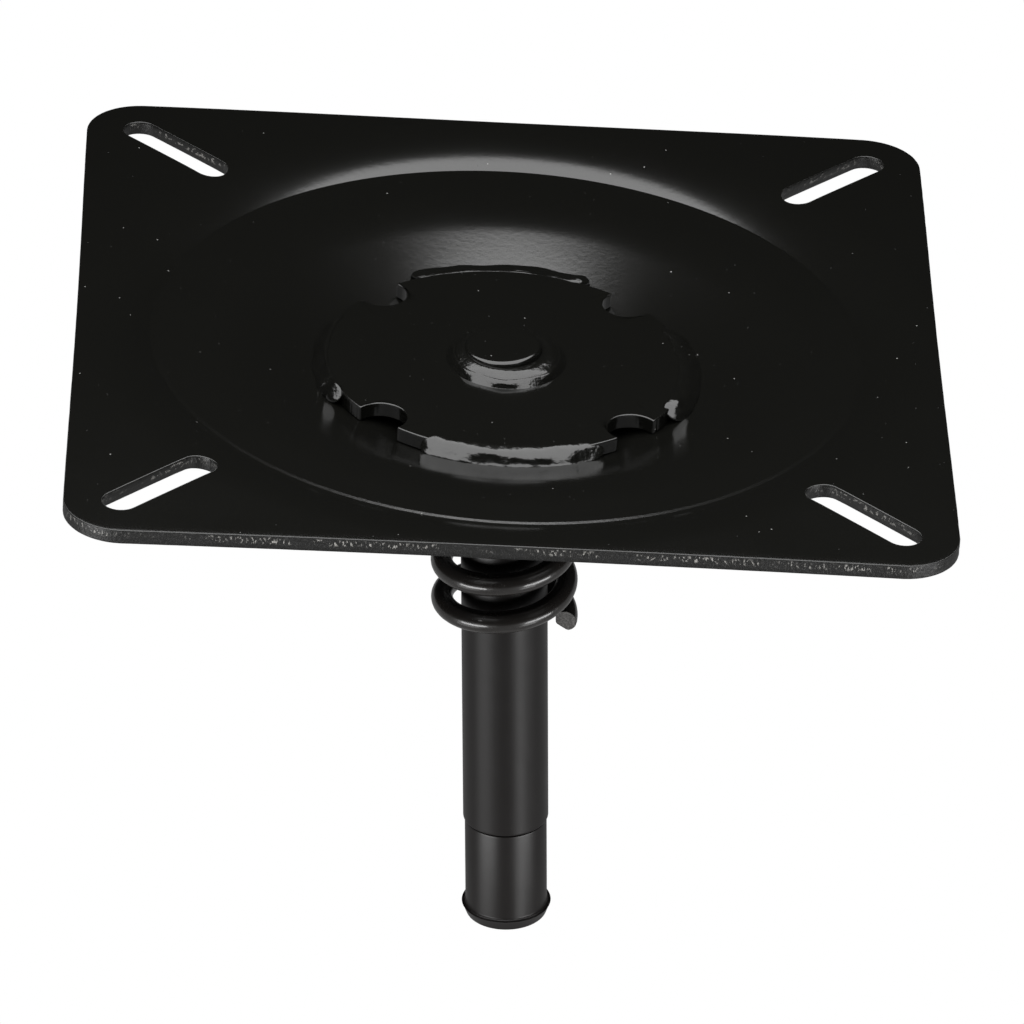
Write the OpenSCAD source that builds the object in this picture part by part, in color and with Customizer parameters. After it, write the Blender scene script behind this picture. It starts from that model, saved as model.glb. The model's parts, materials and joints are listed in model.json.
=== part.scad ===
// Pin-type swivel for a pedestal: a dished steel plate on a sprung pin post.
// The Z axis runs up the pin, and the plate leans down towards +X.
// The origin is on the pin's axis, at the top end of the long bushing.

/* [Plate] */
// Side of the square top plate
plate_w = 177.8; // [150:0.2:220]
// Thickness of the plate's sheet
sheet_t = 3.2; // [2.4:0.1:4]
// Radius of the plate's corners
corner_r = 12; // [6:0.5:24]
// How far the plate leans from square to the pin, in degrees
plate_lean = 3.7; // [0:0.1:6]

/* [Dish] */
// Flat border between the plate's side and the rim, where it starts to turn down
rim_margin = 1.9; // [1:0.1:8]
// Width of the rim's bend, out from its crease
rim_w = 13.5; // [10:0.5:16]
// Depth of the crease below the plate's top
crease_depth = 4.15; // [3:0.05:5]
// Height of the small coined lip inside the crease
lip_h = 0.3; // [0.1:0.05:0.6]
// Width of the coined lip
lip_w = 0.9; // [0.5:0.1:1.5]
// Width of the shelf between the lip and the bend into the funnel
shelf_w = 6.6; // [2:0.2:8]
// Radius of that bend, seen in section
funnel_bend_r = 46; // [30:1:50]
// Slope of the funnel, in degrees
funnel_angle = 19; // [16:0.5:22]
// Radius of the flat floor round the pin
floor_r = 24; // [20:0.5:27]
// Radius of the bend between the funnel and the flat floor
floor_bend_r = 20; // [10:1:30]
// Outside diameter of the collar drawn down round the pin
collar_d = 20.6; // [20:0.1:20.8]
// How far the collar stands below the floor
collar_h = 4; // [2:0.5:8]

/* [Slots] */
// Distance of each slot's centre from the plate's sides
slot_inset = 19; // [17:0.1:22]
// Overall length of a slot
slot_len = 28.8; // [16:0.2:32]
// Width of a slot
slot_w = 7.2; // [6.6:0.1:9]

/* [Hub disc] */
// Diameter of the disc welded into the funnel
hub_d = 75; // [66:0.5:80]
// Thickness of the disc
hub_t = 3.2; // [2:0.1:5]
// Radius of the round bites in the disc's edge
bite_r = 5.2; // [3:0.1:7]
// Distance of the bites' centres from the disc's centre
bite_centre_r = 36.2; // [34:0.1:38]

/* [Welds] */
// How far the rear and side beads lap onto the disc
bead_lap = 1.4; // [0.8:0.1:3]
// How far the front bead laps onto the disc
front_bead_lap = 3; // [1:0.1:3.4]
// How far the beads reach out from the disc's edge
bead_reach = 4; // [2.5:0.1:6]
// How far the crown of a rear or side bead stands over its chord
bead_crown = 0.9; // [0.7:0.05:1.2]
// How far the crown of the front bead stands over its chord
front_bead_crown = 1.6; // [1.5:0.05:2.2]
// Angle that a bead runs along the disc's edge
bead_angle = 54; // [40:1:62]
// Outside radius of the ring weld round the pin's top
ring_r = 12.4; // [10.5:0.1:14]
// Height of the ring weld on the disc
ring_h = 3; // [2:0.1:4]

/* [Pin] */
// Diameter of the steel pin
pin_d = 15.9; // [14.5:0.1:16.5]
// How far the pin stands up out of the disc
pin_proud = 3.6; // [3:0.1:5]
// Chamfer on the pin's top edge
pin_chamfer = 0.7; // [0.2:0.1:1.2]
// Diameter of the turned-down foot that the cap is pressed on
foot_d = 12.7; // [10:0.1:13.5]

/* [Bushing] */
// Outside diameter of the long bushing
bush_d = 18.1; // [17.7:0.1:19]
// Length of the long bushing
bush_len = 96.7; // [80:0.1:140]
// Running gap between the pin and the bushing, on the radius
bush_run = 0.05; // [0.02:0.01:0.08]
// End play of the bushing below the collar
bush_play = 0.4; // [0.2:0.1:1]
// Gap between the bushing's foot and the cap on the pin's shoulder
cap_gap = 0.3; // [0.2:0.1:0.6]
// Chamfer on the bushing's foot
bush_chamfer = 0.35; // [0.1:0.05:0.5]

/* [Foot cap] */
// Outside diameter of the cap
cap_d = 17.4; // [16:0.1:17.6]
// Length of the cap below the pin's shoulder
cap_len = 23.6; // [16:0.1:30]
// Diameter of the snap lip at the cap's foot
lip_d = 19; // [18:0.1:20]
// Distance of the lip's sharp edge above the cap's foot
lip_z = 2.5; // [1.5:0.1:5]
// Radius of the fillet above the lip
lip_fillet = 0.6; // [0.4:0.1:0.8]
// Diameter of the cap's foot
cap_foot_d = 17.4; // [14:0.1:17.8]
// Thickness of the cap's closed end
cap_end_t = 3; // [2:0.1:5]

/* [Spring] */
// Diameter of the spring's wire
wire_d = 4.6; // [3:0.1:4.8]
// Mean radius of the coils
coil_r = 13.05; // [12.85:0.05:14]
// Rise of one open turn
coil_pitch = 8.9; // [7.5:0.1:10]
// Number of open turns
open_turns = 5; // [3:0.1:6]
// Gap between the top coil and the dish
coil_gap = 0.05; // [0.02:0.01:0.2]
// Number of closed turns under the dish
closed_turns = 1; // [1:0.5:2]
// Gap between the closed turns
closed_gap = 0.25; // [0.2:0.05:0.6]
// Lean of the free end's coils towards +X, in degrees
free_lean = 0.3; // [-3:0.1:4]
// Tip of the free end's coils towards -Y, in degrees
free_tip = 3.5; // [-4:0.1:4]
// Direction in which the lower end is cut off, in degrees from +X
cut_angle = -10; // [-180:1:180]

/* [Hidden] */

$fn = 96;
steel = "#1b1b19";
weld_steel = "#262624";
polymer = "#2b2726";
// Overlap that lets a cut pass clear through a face
cut = 1;

// The dish fills the plate to its margin
rim_r = plate_w / 2 - rim_margin;
crease_r = rim_r - rim_w;
slot_centre = plate_w / 2 - slot_inset;
// The rim's bend is an arc from the flat plate to the crease
rim_bend_angle = 2 * atan(crease_depth / (rim_r - crease_r));
rim_bend_r = (rim_r - crease_r) / sin(rim_bend_angle);
// The shelf runs from the coined lip to the funnel with this slope
shelf_angle = 1;
lip_depth = crease_depth - lip_h;
shelf_r = crease_r - lip_w;
funnel_r = shelf_r - shelf_w;
funnel_depth = lip_depth + (shelf_r - funnel_r) * tan(shelf_angle);
// The funnel's straight wall runs between these two radii
wall_top_r = funnel_r - funnel_bend_r * (sin(funnel_angle) - sin(shelf_angle));
wall_top_depth = funnel_depth + funnel_bend_r * (cos(shelf_angle) - cos(funnel_angle));
wall_foot_r = floor_r + floor_bend_r * sin(funnel_angle);
wall_foot_depth = wall_depth(wall_foot_r);
dish_depth = wall_foot_depth + floor_bend_r * (1 - cos(funnel_angle));
// Height of the underside of the dish's floor over the bushing's top end
floor_z = collar_h + bush_play;
// Height of the plate's top face over that underside
plate_top = dish_depth + sheet_t;
// The disc stands with its lower edge on the funnel's wall
hub_r = hub_d / 2;
hub_top = plate_top - wall_depth(hub_r) + hub_t;
pin_top = floor_z + hub_top + pin_proud;
shoulder_z = -bush_len - cap_gap;
cap_foot = shoulder_z - cap_len;
coil_top = floor_z - (wire_d / 2 + coil_gap) / cos(plate_lean);
closed_pitch = wire_d + closed_gap;
all_turns = open_turns + closed_turns;
coil_steps = 32;
wire_sides = 12;

// Depth of the funnel's straight wall below the plate's top, at radius r
function wall_depth(r) = wall_top_depth + (wall_top_r - r) * tan(funnel_angle);

// Points of an arc about c from angle a0 to a1, in n steps
function arc(c, r, a0, a1, n) = [for (i = [0:n]) c + r * [cos(a0 + (a1 - a0) * i / n), sin(a0 + (a1 - a0) * i / n)]];

// The sheet's section, out from the floor to the rim: off is 0 on the top face and sheet_t on the underside
function rim_arc(off) =
    arc([rim_r, plate_top - rim_bend_r], rim_bend_r - off, 90 + rim_bend_angle, 90, 10);
function funnel_arc(off) =
    arc([funnel_r + funnel_bend_r * sin(shelf_angle), plate_top - funnel_depth - funnel_bend_r * cos(shelf_angle)],
        funnel_bend_r - off, 90 + funnel_angle, 90 + shelf_angle, 6);
function floor_arc(off) =
    arc([floor_r, plate_top - dish_depth + floor_bend_r], floor_bend_r + off, -90, -90 + funnel_angle, 5);
top_line = concat(floor_arc(0), funnel_arc(0), [[shelf_r, plate_top - lip_depth]], rim_arc(0));
under_line = concat(floor_arc(sheet_t), funnel_arc(sheet_t), [[shelf_r - sheet_t * tan(rim_bend_angle / 2),
    plate_top - lip_depth - sheet_t]], rim_arc(sheet_t));
function backwards(p) = [for (i = [len(p) - 1:-1:0]) p[i]];

// Everything pressed or welded in line with the plate is drawn square to the plate and then leaned
module lean() {
    translate([0, 0, floor_z]) rotate([0, plate_lean, 0]) children();
}

module pin_bore(d) {
    cylinder(d = d, h = floor_z + plate_top + cut);
}

// The slots reach into the rim's bend, so they are cut as deep as its crease
module slot() {
    run = (slot_len - slot_w) / 2;
    foot = plate_top - sheet_t - crease_depth;
    height = sheet_t + crease_depth + cut;
    translate([-run, -slot_w / 2, foot]) cube([2 * run, slot_w, height]);
    for (side = [-1, 1])
        translate([side * run, 0, foot]) cylinder(d = slot_w, h = height);
}

module square_sheet() {
    flat = plate_w / 2 - corner_r;
    translate([0, 0, plate_top - sheet_t])
        difference() {
            union() {
                translate([-flat, -plate_w / 2, 0]) cube([2 * flat, plate_w, sheet_t]);
                translate([-plate_w / 2, -flat, 0]) cube([plate_w, 2 * flat, sheet_t]);
                for (x = [-flat, flat], y = [-flat, flat])
                    translate([x, y, 0]) cylinder(r = corner_r, h = sheet_t);
            }
            translate([0, 0, -cut]) cylinder(r = rim_r, h = sheet_t + 2 * cut);
        }
}

module dish() {
    rotate_extrude()
        polygon(concat([[0, plate_top - dish_depth]], top_line, backwards(under_line), [[0, 0]]));
}

module seat_plate() {
    color(steel) difference() {
        union() {
            lean() difference() {
                union() {
                    square_sheet();
                    dish();
                }
                for (a = [45:90:315]) rotate([0, 0, a]) translate([slot_centre * sqrt(2), 0, 0]) slot();
            }
            translate([0, 0, bush_play]) cylinder(d = collar_d, h = collar_h + sheet_t / 2);
        }
        pin_bore(pin_d);
    }
}

module hub_disc() {
    color(steel) difference() {
        lean() translate([0, 0, hub_top - hub_t]) difference() {
            cylinder(r = hub_r, h = hub_t);
            for (a = [45:90:315])
                rotate([0, 0, a]) translate([bite_centre_r, 0, -cut]) cylinder(r = bite_r, h = hub_t + 2 * cut);
        }
        pin_bore(pin_d);
    }
}

// A bead laid along the disc's edge: its section fills the corner between disc and funnel
module edge_weld(mid_angle, lap, reach, crown_h) {
    toe = [hub_r + reach, plate_top - wall_depth(hub_r + reach)];
    start = [hub_r - lap, hub_top];
    chord = start - toe;
    side = [-chord[1], chord[0]] / norm(chord);
    crown = [for (i = [0:6]) toe + chord * i / 6 - side * crown_h * sin(180 * i / 6)];
    lean() rotate([0, 0, mid_angle - bead_angle / 2]) rotate_extrude(angle = bead_angle)
        polygon(concat([[hub_r, hub_top], [hub_r, hub_top - hub_t]], crown));
}

module rear_weld() {
    color(weld_steel) edge_weld(90, bead_lap, bead_reach + 1, bead_crown);
}

module front_weld() {
    color(weld_steel) edge_weld(270, front_bead_lap, bead_reach - 1, front_bead_crown);
}

module left_weld() {
    color(weld_steel) edge_weld(180, bead_lap, bead_reach - 0.6, bead_crown);
}

module right_weld() {
    color(weld_steel) edge_weld(0, bead_lap, bead_reach - 0.6, bead_crown);
}

module ring_weld() {
    color(weld_steel) difference() {
        lean() translate([0, 0, hub_top]) rotate_extrude()
            polygon(concat([[pin_d / 4, 0]],
                [for (a = [0:15:90]) [pin_d / 2 + (ring_r - pin_d / 2) * cos(a), ring_h * sin(a)]],
                [[pin_d / 4, ring_h]]));
        pin_bore(pin_d);
    }
}

module swivel_pin() {
    color(steel) union() {
        translate([0, 0, shoulder_z]) cylinder(d = pin_d, h = pin_top - shoulder_z - pin_chamfer);
        translate([0, 0, pin_top - pin_chamfer])
            cylinder(d1 = pin_d, d2 = pin_d - 2 * pin_chamfer, h = pin_chamfer);
        translate([0, 0, cap_foot + cap_end_t]) cylinder(d = foot_d, h = cap_len - cap_end_t + cut);
    }
}

module foot_cap() {
    r = cap_d / 2;
    lip_r = lip_d / 2;
    color(polymer) translate([0, 0, cap_foot]) rotate_extrude()
        polygon(concat([[0, 0], [cap_foot_d / 2 - 0.6, 0], [cap_foot_d / 2, 0.6], [lip_r, lip_z]],
            arc([r + lip_fillet, lip_z + lip_fillet], lip_fillet, 270, 180, 5),
            [[r, cap_len - 0.4], [r - 0.4, cap_len], [foot_d / 2, cap_len], [foot_d / 2, cap_end_t],
             [0, cap_end_t]]));
}

module pin_bushing() {
    bore = pin_d / 2 + bush_run;
    r = bush_d / 2;
    color(polymer) rotate_extrude()
        polygon([[bore, -bush_len], [r - bush_chamfer, -bush_len], [r, -bush_len + bush_chamfer], [r, 0],
            [bore, 0]]);
}

// Height of the wire's centre after t turns up from the cut end, before the coils are leaned
function coil_rise(t) =
    min(t, open_turns) * coil_pitch + max(t - open_turns, 0) * closed_pitch;
coil_foot = coil_top - coil_rise(all_turns);

// The top coil lies parallel to the leaning floor, and the coils turn steadily to the free end's slopes
function coil_drop(t) = tan(plate_lean) + (tan(free_lean) - tan(plate_lean)) * (1 - t / all_turns);
function coil_tip(t) = tan(free_tip) * (1 - t / all_turns);

// Rings of points round the wire, each square to the coil's own direction in plan
spring_rings = [for (i = [0:round(all_turns * coil_steps)])
    let (t = i / coil_steps, a = cut_angle + 360 * t, z = coil_foot + coil_rise(t))
    [for (j = [0:wire_sides - 1])
        let (b = 360 * j / wire_sides, r = coil_r + wire_d / 2 * cos(b), x = r * cos(a), y = r * sin(a))
        [x, y, z + wire_d / 2 * sin(b) - x * coil_drop(t) + y * coil_tip(t)]]];

module spring() {
    last = len(spring_rings) - 1;
    n = wire_sides;
    color(steel) polyhedron(
        points = [for (ring = spring_rings) each ring],
        faces = concat(
            [[for (j = [0:n - 1]) j]],
            [for (i = [0:last - 1], j = [0:n - 1])
                [i * n + j, (i + 1) * n + j, (i + 1) * n + (j + 1) % n, i * n + (j + 1) % n]],
            [[for (j = [n - 1:-1:0]) last * n + j]]));
}

seat_plate();
hub_disc();
rear_weld();
front_weld();
left_weld();
right_weld();
ring_weld();
swivel_pin();
foot_cap();
pin_bushing();
spring();
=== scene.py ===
"""Dresses the packed swivel mount: pressed plate, welded hub, bushed pin and coil spring."""

import functools
import json
from types import SimpleNamespace

import bmesh
import bpy
import numpy as np
from mathutils import Matrix, Vector


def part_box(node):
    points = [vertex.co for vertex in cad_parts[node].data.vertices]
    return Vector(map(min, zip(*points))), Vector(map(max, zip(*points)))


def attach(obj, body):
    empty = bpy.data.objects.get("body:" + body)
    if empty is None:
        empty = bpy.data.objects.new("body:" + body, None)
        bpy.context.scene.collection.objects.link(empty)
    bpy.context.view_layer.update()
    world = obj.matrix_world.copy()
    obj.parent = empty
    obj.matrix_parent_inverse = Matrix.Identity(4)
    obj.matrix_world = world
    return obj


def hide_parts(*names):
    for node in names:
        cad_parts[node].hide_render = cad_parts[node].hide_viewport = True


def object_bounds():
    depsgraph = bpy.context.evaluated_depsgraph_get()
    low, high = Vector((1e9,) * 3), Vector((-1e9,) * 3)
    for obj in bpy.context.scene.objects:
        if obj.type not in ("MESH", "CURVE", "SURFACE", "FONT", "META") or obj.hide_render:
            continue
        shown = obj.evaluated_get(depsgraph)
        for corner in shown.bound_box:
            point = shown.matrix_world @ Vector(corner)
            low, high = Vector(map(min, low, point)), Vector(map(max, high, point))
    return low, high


bl_info = {
    "name": "Swivel mount dresser",
    "version": (1, 0, 0),
    "blender": (4, 5, 0),
    "location": "3D View > Sidebar > Swivel mount",
    "description": "Builds the plate, welds, bushing and spring of a pin-type swivel mount",
    "category": "Add Mesh",
}

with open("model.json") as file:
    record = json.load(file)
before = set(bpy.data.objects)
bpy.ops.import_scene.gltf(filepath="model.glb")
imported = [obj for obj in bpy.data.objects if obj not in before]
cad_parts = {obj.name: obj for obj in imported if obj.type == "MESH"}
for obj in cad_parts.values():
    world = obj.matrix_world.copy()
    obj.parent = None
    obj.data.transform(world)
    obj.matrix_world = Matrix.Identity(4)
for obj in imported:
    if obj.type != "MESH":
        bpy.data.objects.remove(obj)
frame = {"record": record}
CAD_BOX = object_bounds()

MM = 0.001
TOP = "top"
POST = "post"

# Linear colours of specks, spatter and dust, and the darkest and palest of the wire's torn end.
PALE_SPECK = (0.3, 0.3, 0.29)
FINE_SPECK = (0.2, 0.2, 0.2)
SPATTER = (0.25, 0.25, 0.24)
DUST = (0.2, 0.19, 0.18)
TORN_DARK, TORN_PALE = (0.05, 0.048, 0.045), (0.16, 0.155, 0.15)
WHITE = (1, 1, 1, 1)

# Radius where the border's grids meet the dish's rings, and how far the parting round a slot
# reaches to each side of the diagonal.
JOIN = 80.0
PARTING = 17.0

# Radius where the flat border begins to sag, and the way from there to a corner.
SAG_START, SAG_WAY = 87.0, 32.0

# How deep the tears of sheared walls are, and the length run round a slot, in millimetres.
TEAR_DEPTH = 0.05
SLOT_RUN = 66.0

# Degrees in which a weld bead's end tapers.
END_TAPER = 4.0

# Radius of the fillet over the foot cap's lip, and thickness of its closed end.
CAP_FILLET, CAP_END = 0.6, 3.0

# The wire's snip: its length in turns, its flat's distance from the wire's middle by the wire's
# radius, and the flat's bearing in degrees.
SNIP_TURNS, SNIP_DEPTH, SNIP_BEARING = 0.03, 0.8, 239

# Radians along the coil by which the rounded edge of a cut end stands back.
CUT_BACK = 0.0036

# Millimetres by which the wear of one side, and of the slots, is kept apart from the others.
SIDE_SHIFT, SLOT_SHIFT = 300, 2000

# The camera's place in metres, and its azimuth, elevation and roll in degrees.
CAMERA_PLACE = (-0.0118975, -1.556863, 0.8989045)
CAMERA_ANGLES = (-0.5, 30.61, -0.314)

# Half the floor's side in metres, and the paper's colour.
FLOOR_REACH = 14
PAPER = (0.82, 0.82, 0.82)

# The lamps: name, place, aim and size in metres, and, for those beside the part, power in watts.
OVERHEAD = ("overhead", (0.0, -0.105, 0.285), (0.0, -0.105, 0.0), (0.66, 0.55))
SIDE_LAMPS = (
    ("left_low", (-0.52, -0.30, -0.40), (0, 0, -0.05), (0.4, 0.2), 0.23),
    ("right_low", (0.37, -0.47, -0.40), (0, 0, -0.05), (0.25, 0.2), 0.34),
    ("left_fill", (-0.9, -0.8, -0.28), (0, 0, -0.04), (0.9, 0.3), 7.5),
    ("right_fill", (0.9, -0.8, -0.28), (0, 0, -0.04), (0.9, 0.3), 7.5))


def node_box(name):
    """The lowest and highest corner of a CAD node, in millimetres."""
    low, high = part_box(name)
    return np.array(low) / MM, np.array(high) / MM


def default_lean():
    """The plate's lean in degrees, from the normal of the record's top face."""
    for mount in frame["record"]["mounts"]:
        if mount["name"] == "top_face":
            return float(np.degrees(np.arcsin(mount["axis"][0])))
    raise RuntimeError("the record has no top_face mount")


def in_millimetres(name, description, default):
    """A length, given in millimetres; Blender keeps it in metres."""
    return bpy.props.FloatProperty(
        name=name, description=description, default=default * MM, precision=5, unit="LENGTH")


def in_degrees(name, description, default):
    """An angle, given in degrees; Blender keeps it in radians."""
    return bpy.props.FloatProperty(
        name=name, description=description, default=float(np.radians(default)), subtype="ANGLE")


def plain(name, description, default, **choices):
    """A number that is kept as it is given."""
    return bpy.props.FloatProperty(
        name=name, description=description, default=default, **choices)


def share(name, description, default):
    """A number from 0 to 1."""
    return plain(name, description, default, min=0.0, max=1.0, subtype="FACTOR")


def tint(name, description, default):
    """A linear colour."""
    return bpy.props.FloatVectorProperty(
        name=name, description=description, default=default, subtype="COLOR")


class PlateSettings(bpy.types.PropertyGroup):
    """Sizes of the pressed plate."""

    width: in_millimetres("Width", "Side of the square plate", 177.8)
    sheet: in_millimetres("Sheet", "Thickness of the sheet", 3.2)
    corner: in_millimetres("Corner", "Radius of the corners", 12.0)
    lean: in_degrees("Lean", "Lean of the plate towards +X", default_lean())
    floor_z: in_millimetres(
        "Floor height", "Underside of the dish's floor over the bushing", 4.4)
    slot_centre: in_millimetres(
        "Slot centre", "Distance of a slot from the plate's centre lines", 69.9)
    slot_length: in_millimetres("Slot length", "Overall length of a slot", 28.8)
    slot_width: in_millimetres("Slot width", "Width of a slot at the top face", 7.2)
    slot_flare: in_millimetres(
        "Slot flare", "How much wider a slot is below, on each side", 0.35)
    drawn_in: in_millimetres(
        "Drawn in", "How far pressing pulled the middle of each side in", 0.3)
    corner_drop: in_millimetres(
        "Corner drop", "How far the corners sag below mid-side", 0.3)
    edge_round: in_millimetres("Edge round", "Radius of the coated edges", 0.24)
    roll: in_millimetres(
        "Die roll", "How far the top face droops at the sheared edge", 0.06)
    roll_width: in_millimetres("Die roll width", "How far in from the edge it droops", 1.8)


class DishSettings(bpy.types.PropertyGroup):
    """Radii, depths and slopes of the dish."""

    rim: in_millimetres("Rim", "Radius where the rim bends down", 90.0)
    crease: in_millimetres("Crease", "Radius of the crease", 73.5)
    crease_depth: in_millimetres("Crease depth", "Depth of the crease below the border", 3.99)
    lip_height: in_millimetres("Lip height", "Rise of the coined lip over the crease", 0.14)
    lip_width: in_millimetres("Lip width", "Width of the coined lip", 0.9)
    shelf_slope: in_degrees("Shelf slope", "Fall of the shelf inside the lip", 1.0)
    funnel: in_millimetres("Funnel", "Radius where the shelf ends", 66.0)
    funnel_bend: in_millimetres("Funnel bend", "Radius of the bend into the funnel", 46.0)
    funnel_angle: in_degrees("Funnel angle", "Fall of the funnel's wall", 19.0)
    floor: in_millimetres("Floor", "Radius of the flat floor", 24.0)
    floor_bend: in_millimetres("Floor bend", "Radius of the bend into the floor", 20.0)
    collar: in_millimetres("Collar", "Outside radius of the collar", 10.3)
    collar_gap: in_millimetres(
        "Collar gap", "Height of the collar's foot over the bushing", 0.4)


class HubSettings(bpy.types.PropertyGroup):
    """Sizes of the hub disc and its ring weld."""

    radius: in_millimetres("Radius", "Radius of the disc", 37.5)
    thickness: in_millimetres("Thickness", "Thickness of the disc", 3.2)
    edge_round: in_millimetres("Edge round", "Radius of the coated edges", 0.3)
    bite: in_millimetres("Bite", "Radius of a round bite", 5.2)
    bite_centre: in_millimetres(
        "Bite centre", "Distance of a bite's centre from the disc's", 36.2)
    ring: in_millimetres("Ring weld", "Outside radius of the ring weld", 12.4)


class PinSettings(bpy.types.PropertyGroup):
    """Sizes of the pin, its bushing and its foot cap."""

    pin: in_millimetres("Pin", "Radius of the steel pin", 7.95)
    foot: in_millimetres("Foot", "Radius of the pin's turned-down foot", 6.35)
    bushing: in_millimetres("Bushing", "Outside radius of the bushing", 9.05)
    bushing_length: in_millimetres("Bushing length", "Length of the bushing", 96.7)
    running_gap: in_millimetres("Running gap", "Gap between pin and bushing", 0.05)
    cap: in_millimetres("Cap", "Outside radius of the foot cap", 8.7)
    lip: in_millimetres("Lip", "Radius of the snap lip", 9.5)
    lip_height: in_millimetres("Lip height", "Height of the snap lip's sharp edge", 2.5)


class SpringSettings(bpy.types.PropertyGroup):
    """Sizes of the spring."""

    wire: in_millimetres("Wire", "Diameter of the wire", 4.6)
    coil: in_millimetres("Coil", "Mean radius of the coils", 13.05)
    pitch: in_millimetres("Pitch", "Rise of an open turn", 8.9)
    open_turns: plain("Open turns", "Number of open turns", 5.0)
    closed_turns: plain("Closed turns", "Number of closed turns", 1.0)
    closed_gap: in_millimetres("Closed gap", "Gap between closed coils", 0.25)
    seat_gap: in_millimetres("Top gap", "Gap between the last coil and the dish", 0.05)
    cut_angle: in_degrees("Cut angle", "Bearing at which the wire is cut", -10.0)
    free_lean: in_degrees("Free lean", "Lean of the free end towards +X", 0.3)
    free_tip: in_degrees("Free tip", "Tip of the free end towards -Y", 3.5)


class FinishSettings(bpy.types.PropertyGroup):
    """Colours of the finishes."""

    coat: tint("Powder coat", "Colour of the plate's coat", (0.0028, 0.0028, 0.0024))
    weld: tint("Weld coat", "Colour of the coated welds", (0.0028, 0.0028, 0.0024))
    polymer: tint("Polymer", "Colour of the bushing and cap", (0.007, 0.0057, 0.0053))
    enamel: tint("Enamel", "Colour of the spring", (0.0155, 0.0135, 0.0122))
    bare: tint("Bare edge", "Colour of steel where the coat is thin", (0.36, 0.35, 0.33))


class StageSettings(bpy.types.PropertyGroup):
    """Camera and light."""

    lens: plain("Lens", "Focal length of the camera", 305.8, unit="CAMERA")
    drop: in_millimetres("Floor drop", "Height of the cap over the floor", 420.0)
    mirrored: share("Mirrored floor", "Brightness of the floor in the part's gloss", 0.3)
    lamp: plain("Lamp", "Power of the overhead lamp", 5.4, unit="POWER")
    room: share("Room", "Light of the room around, whose backdrop is white", 0.01)


GROUPS = {
    "swivel_plate": PlateSettings,
    "swivel_dish": DishSettings,
    "swivel_hub": HubSettings,
    "swivel_pin": PinSettings,
    "swivel_spring": SpringSettings,
    "swivel_finish": FinishSettings,
    "swivel_stage": StageSettings,
}
SCALES = {"LENGTH": 1 / MM, "ROTATION": float(np.degrees(1.0))}


def settings(name):
    """The values of the scene's PropertyGroup of that name, lengths in millimetres and angles in
    degrees."""
    group = getattr(bpy.context.scene, "swivel_" + name)
    values = {}
    for key in type(group).__annotations__:
        value = getattr(group, key)
        scale = SCALES.get(group.bl_rna.properties[key].unit)
        values[key] = value * scale if scale else value
    return SimpleNamespace(**values)


class Wire:
    """A socket that carries numbers; arithmetic on it adds Math nodes."""

    def __init__(self, nodes, socket):
        self.nodes = nodes
        self.socket = socket

    def _math(self, operation, *values):
        return self.nodes.node(
            "ShaderNodeMath", {"operation": operation}, dict(enumerate(values)))

    def __add__(self, other):
        return self._math("ADD", self, other)

    def __sub__(self, other):
        return self._math("SUBTRACT", self, other)

    def __rsub__(self, other):
        return self._math("SUBTRACT", other, self)

    def __mul__(self, other):
        return self._math("MULTIPLY", self, other)

    __radd__ = __add__
    __rmul__ = __mul__

    def above(self, edge, soft):
        """0 below edge, 1 above edge + soft, and a smooth step between."""
        return self.nodes.node(
            "ShaderNodeMapRange", {"interpolation_type": "SMOOTHSTEP"},
            {"Value": self, "From Min": edge, "From Max": edge + soft})

    def below(self, edge, soft):
        """1 below edge - soft, 0 above edge."""
        return 1 - self.above(edge - soft, soft)


class Nodes:
    """The nodes of a material or world: one shader, and the method that adds any other node."""

    def __init__(self, tree, shader):
        self.tree = tree
        self.shader = tree.nodes[shader]

    def _feed(self, socket, value):
        if isinstance(value, Wire):
            self.tree.links.new(value.socket, socket)
        else:
            socket.default_value = value

    def node(self, kind, choices=None, inputs=None, out=0):
        """Adds a node: its choices first, then its sockets by name or number."""
        made = self.tree.nodes.new(kind)
        for key, value in (choices or {}).items():
            setattr(made, key, value)
        for key, value in (inputs or {}).items():
            self._feed(made.inputs[key], value)
        return Wire(self, made.outputs[out])

    def ray(self, kind):
        """1 for rays of that kind, camera, glossy or transmission, and 0 for others."""
        return self.node("ShaderNodeLightPath", out=f"Is {kind} Ray")

    def set(self, socket, value):
        """Sets or links a socket of the shader."""
        self._feed(self.shader.inputs[socket], value)


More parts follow.
